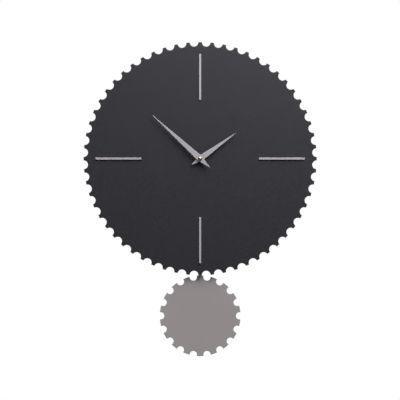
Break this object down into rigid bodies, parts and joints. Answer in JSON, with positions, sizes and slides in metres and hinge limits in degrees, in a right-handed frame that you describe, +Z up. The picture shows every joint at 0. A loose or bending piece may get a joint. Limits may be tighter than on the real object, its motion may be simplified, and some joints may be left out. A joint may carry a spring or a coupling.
{
  "type": "pendulum wall clock",
  "caption": "Wall clock with a scalloped black dial, flat bar hour marks, dart hands, a battery movement and a swinging scalloped bob.",
  "frame": {"origin": "axis of the wall screw in the hanger's keyhole, on the wall plane", "axes": "+Z up the wall, -Y out of the dial towards the room, +X to the right of somebody reading the dial"},
  "size_m": [0.34, 0.0543, 0.4586],
  "materials": {
    "dial_plate": "matt black lacquer on board",
    "index_bar_12": "satin",
    "index_bar_3": "satin",
    "index_bar_6": "satin",
    "index_bar_9": "satin",
    "hanger_plate": "zinc plated",
    "wall_spacer_left": "moulded, fine spark texture",
    "wall_spacer_right": "moulded, fine spark texture",
    "wall_pad_left": "matte",
    "wall_pad_right": "matte",
    "movement_front_case": "moulded, fine spark texture",
    "movement_back_cover": "moulded, fine spark texture",
    "case_screw_left": "zinc plated",
    "case_screw_right": "zinc plated",
    "movement_bush": "turned",
    "rubber_gasket": "matte",
    "bush_washer": "black oxide",
    "bush_nut": "black oxide",
    "gear_plate": "natural acetal",
    "circuit_board": "solder mask",
    "quartz_crystal": "zinc plated",
    "controller_chip": "epoxy",
    "step_motor_stator": "zinc plated",
    "step_coil_core": "zinc plated",
    "step_coil_bobbin": "natural acetal",
    "step_coil_winding": "enamelled copper wire",
    "pendulum_coil": "enamelled copper wire",
    "pendulum_pivot_pin": "zinc plated",
    "battery_contact_positive": "zinc plated",
    "battery_contact_negative": "zinc plated",
    "battery": "printed sleeve, plain",
    "rotor_pinion": "natural acetal",
    "rotor_magnet": "nickel plated",
    "intermediate_wheel": "natural acetal",
    "seconds_wheel": "turned",
    "third_wheel": "turned",
    "centre_wheel": "turned",
    "minute_arbor": "turned",
    "minute_wheel": "natural acetal",
    "hour_wheel": "natural acetal",
    "setting_knob": "natural acetal",
    "hour_hand": "satin silver paint",
    "minute_hand": "satin silver paint",
    "hour_hand_collet": "turned",
    "minute_hand_collet": "turned",
    "hand_cap_nut": "turned",
    "pendulum_leader": "natural acetal",
    "pendulum_magnet": "nickel plated",
    "pendulum_rod": "zinc plated",
    "pendulum_disc": "fine-grained warm grey metallic lacquer on board",
    "rod_screw_upper": "zinc plated",
    "rod_screw_lower": "zinc plated"
  },
  "bodies": {
    "clock": {"dial_plate": "dial_plate", "index_bar_12": "index_bar_12", "index_bar_3": "index_bar_3", "index_bar_6": "index_bar_6", "index_bar_9": "index_bar_9", "hanger_plate": "hanger_plate", "wall_spacer_left": "wall_spacer_left", "wall_spacer_right": "wall_spacer_right", "wall_pad_left": "wall_pad_left", "wall_pad_right": "wall_pad_right", "movement_front_case": "movement_front_case", "movement_back_cover": "movement_back_cover", "case_screw_left": "case_screw_left", "case_screw_right": "case_screw_right", "movement_bush": "movement_bush", "rubber_gasket": "rubber_gasket", "bush_washer": "bush_washer", "bush_nut": "bush_nut", "gear_plate": "gear_plate", "circuit_board": "circuit_board", "quartz_crystal": "quartz_crystal", "controller_chip": "controller_chip", "step_motor_stator": "step_motor_stator", "step_coil_core": "step_coil_core", "step_coil_bobbin": "step_coil_bobbin", "step_coil_winding": "step_coil_winding", "pendulum_coil": "pendulum_coil", "pendulum_pivot_pin": "pendulum_pivot_pin", "battery_contact_positive": "battery_contact_positive", "battery_contact_negative": "battery_contact_negative"},
    "minute_hand_group": {"minute_arbor": "minute_arbor", "minute_hand": "minute_hand", "minute_hand_collet": "minute_hand_collet", "hand_cap_nut": "hand_cap_nut"},
    "hour_hand_group": {"hour_wheel": "hour_wheel", "hour_hand": "hour_hand", "hour_hand_collet": "hour_hand_collet"},
    "minute_wheel_group": {"minute_wheel": "minute_wheel"},
    "setting_knob_group": {"setting_knob": "setting_knob"},
    "rotor": {"rotor_pinion": "rotor_pinion", "rotor_magnet": "rotor_magnet"},
    "intermediate": {"intermediate_wheel": "intermediate_wheel"},
    "seconds": {"seconds_wheel": "seconds_wheel"},
    "third": {"third_wheel": "third_wheel"},
    "centre": {"centre_wheel": "centre_wheel"},
    "pendulum_drive": {"pendulum_leader": "pendulum_leader", "pendulum_magnet": "pendulum_magnet"},
    "pendulum": {"pendulum_rod": "pendulum_rod", "pendulum_disc": "pendulum_disc", "rod_screw_upper": "rod_screw_upper", "rod_screw_lower": "rod_screw_lower"},
    "battery_cell": {"battery": "battery"}
  },
  "joints": [
    {"name": "minute_hand_turn", "type": "hinge", "parent": "clock", "child": "minute_hand_group", "pos_m": [0, -0.0282, -0.058], "axis": [0, 1, 0], "continuous": true},
    {"name": "hour_hand_turn", "type": "hinge", "parent": "clock", "child": "hour_hand_group", "pos_m": [0, -0.0315, -0.058], "axis": [0, 1, 0], "continuous": true},
    {"name": "minute_wheel_turn", "type": "hinge", "parent": "clock", "child": "minute_wheel_group", "pos_m": [0.0053, -0.0282, -0.0527], "axis": [0, 1, 0], "continuous": true},
    {"name": "setting_knob_turn", "type": "hinge", "parent": "clock", "child": "setting_knob_group", "pos_m": [0.01235, -0.0282, -0.05013], "axis": [0, 1, 0], "continuous": true},
    {"name": "seconds_wheel_turn", "type": "hinge", "parent": "clock", "child": "seconds", "pos_m": [0, -0.0186, -0.058], "axis": [0, 1, 0], "continuous": true},
    {"name": "third_wheel_turn", "type": "hinge", "parent": "clock", "child": "third", "pos_m": [-0.00846, -0.021, -0.06108], "axis": [0, 1, 0], "continuous": true},
    {"name": "centre_wheel_turn", "type": "hinge", "parent": "clock", "child": "centre", "pos_m": [0, -0.0242, -0.058], "axis": [0, 1, 0], "continuous": true},
    {"name": "intermediate_wheel_turn", "type": "hinge", "parent": "clock", "child": "intermediate", "pos_m": [0.00658, -0.017, -0.06039], "axis": [0, 1, 0], "continuous": true},
    {"name": "rotor_turn", "type": "hinge", "parent": "clock", "child": "rotor", "pos_m": [0.00997, -0.017, -0.06379], "axis": [0, 1, 0], "continuous": true},
    {"name": "pendulum_swing", "type": "hinge", "parent": "clock", "child": "pendulum_drive", "pos_m": [0, -0.0254, -0.082], "axis": [0, 1, 0], "range_deg": [-7, 7]},
    {"name": "pendulum_lift", "type": "slide", "parent": "pendulum_drive", "child": "pendulum", "axis": [0, 0, 1], "range_m": [0, 0.008]},
    {"name": "battery_slide", "type": "slide", "parent": "clock", "child": "battery_cell", "axis": [0, 1, 0], "range_m": [0, 0.02]}
  ],
  "couplings": [
    {"joint": "hour_hand_turn", "follows": "minute_hand_turn", "ratio": 0.083333},
    {"joint": "minute_wheel_turn", "follows": "minute_hand_turn", "ratio": -0.33333},
    {"joint": "setting_knob_turn", "follows": "minute_hand_turn", "ratio": 1},
    {"joint": "third_wheel_turn", "follows": "seconds_wheel_turn", "ratio": -0.13333},
    {"joint": "centre_wheel_turn", "follows": "seconds_wheel_turn", "ratio": 0.016667},
    {"joint": "intermediate_wheel_turn", "follows": "seconds_wheel_turn", "ratio": -6},
    {"joint": "rotor_turn", "follows": "seconds_wheel_turn", "ratio": 30}
  ]
}
